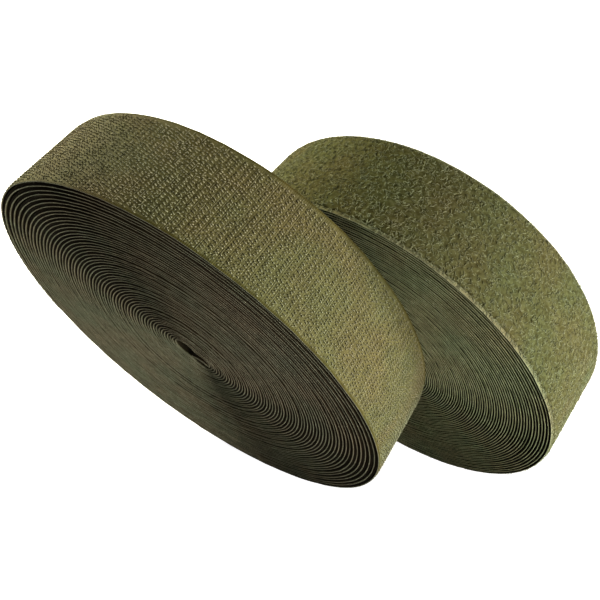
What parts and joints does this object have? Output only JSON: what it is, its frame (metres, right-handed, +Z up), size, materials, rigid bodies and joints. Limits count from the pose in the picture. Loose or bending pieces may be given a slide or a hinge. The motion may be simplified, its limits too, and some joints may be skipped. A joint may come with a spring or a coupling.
{
  "type": "hook and loop tape rolls",
  "caption": "Matched rolls of olive woven hook tape and loop tape, each wound flat on itself without a core, standing on their rims with free ends that peel.",
  "frame": {"origin": "on the floor, under the middle of the pair's footprint", "axes": "+Z up; +Y along the hook roll's axis, from its near face to the loop roll behind it; +X to the right of someone who looks along +Y, towards the loop roll's side"},
  "size_m": [0.3136, 0.1138, 0.2446],
  "materials": {
    "hook_ribbon": "woven nylon ribbon, matt",
    "hook_pile": "rows of cut nylon hooks",
    "loop_ribbon": "woven nylon ribbon, matt",
    "loop_pile": "brushed nylon loops"
  },
  "bodies": {
    "hook_roll": {"hook_wound_ribbon": "hook_ribbon", "hook_outer_pile": "hook_pile", "hook_inner_turns": "hook_ribbon", "hook_start_fold": "hook_ribbon"},
    "hook_free_end_1": {"hook_end_ribbon_1": "hook_ribbon", "hook_end_pile_1": "hook_pile"},
    "hook_free_end_2": {"hook_end_ribbon_2": "hook_ribbon", "hook_end_pile_2": "hook_pile"},
    "hook_free_end_3": {"hook_end_ribbon_3": "hook_ribbon", "hook_end_pile_3": "hook_pile"},
    "loop_roll": {"loop_wound_ribbon": "loop_ribbon", "loop_outer_pile": "loop_pile", "loop_inner_turns": "loop_ribbon", "loop_start_fold": "loop_ribbon"},
    "loop_free_end_1": {"loop_end_ribbon_1": "loop_ribbon", "loop_end_pile_1": "loop_pile"},
    "loop_free_end_2": {"loop_end_ribbon_2": "loop_ribbon", "loop_end_pile_2": "loop_pile"},
    "loop_free_end_3": {"loop_end_ribbon_3": "loop_ribbon", "loop_end_pile_3": "loop_pile"}
  },
  "joints": [
    {"name": "hook_peel_1", "type": "hinge", "parent": "hook_roll", "child": "hook_free_end_1", "pos_m": [-0.13096, -0.05694, 0.19653], "axis": [0, 1, 0], "range_deg": [0, 30]},
    {"name": "hook_peel_2", "type": "hinge", "parent": "hook_free_end_1", "child": "hook_free_end_2", "pos_m": [-0.14713, -0.05694, 0.1687], "axis": [0, 1, 0], "range_deg": [0, 30]},
    {"name": "hook_peel_3", "type": "hinge", "parent": "hook_free_end_2", "child": "hook_free_end_3", "pos_m": [-0.15555, -0.05694, 0.13761], "axis": [0, 1, 0], "range_deg": [0, 30]},
    {"name": "loop_roll_move", "type": "slide", "parent": "hook_roll", "child": "loop_roll", "axis": [0.0924, 0.9957, 0], "range_m": [0, 0.1]},
    {"name": "loop_peel_1", "type": "hinge", "parent": "loop_roll", "child": "loop_free_end_1", "pos_m": [-0.03275, 0.00523, 0.1659], "axis": [0.0924, 0.9957, 0], "range_deg": [0, 30]},
    {"name": "loop_peel_2", "type": "hinge", "parent": "loop_free_end_1", "child": "loop_free_end_2", "pos_m": [-0.04635, 0.00649, 0.14238], "axis": [0.0924, 0.9957, 0], "range_deg": [0, 30]},
    {"name": "loop_peel_3", "type": "hinge", "parent": "loop_free_end_2", "child": "loop_free_end_3", "pos_m": [-0.05342, 0.00715, 0.11611], "axis": [0.0924, 0.9957, 0], "range_deg": [0, 30]}
  ]
}
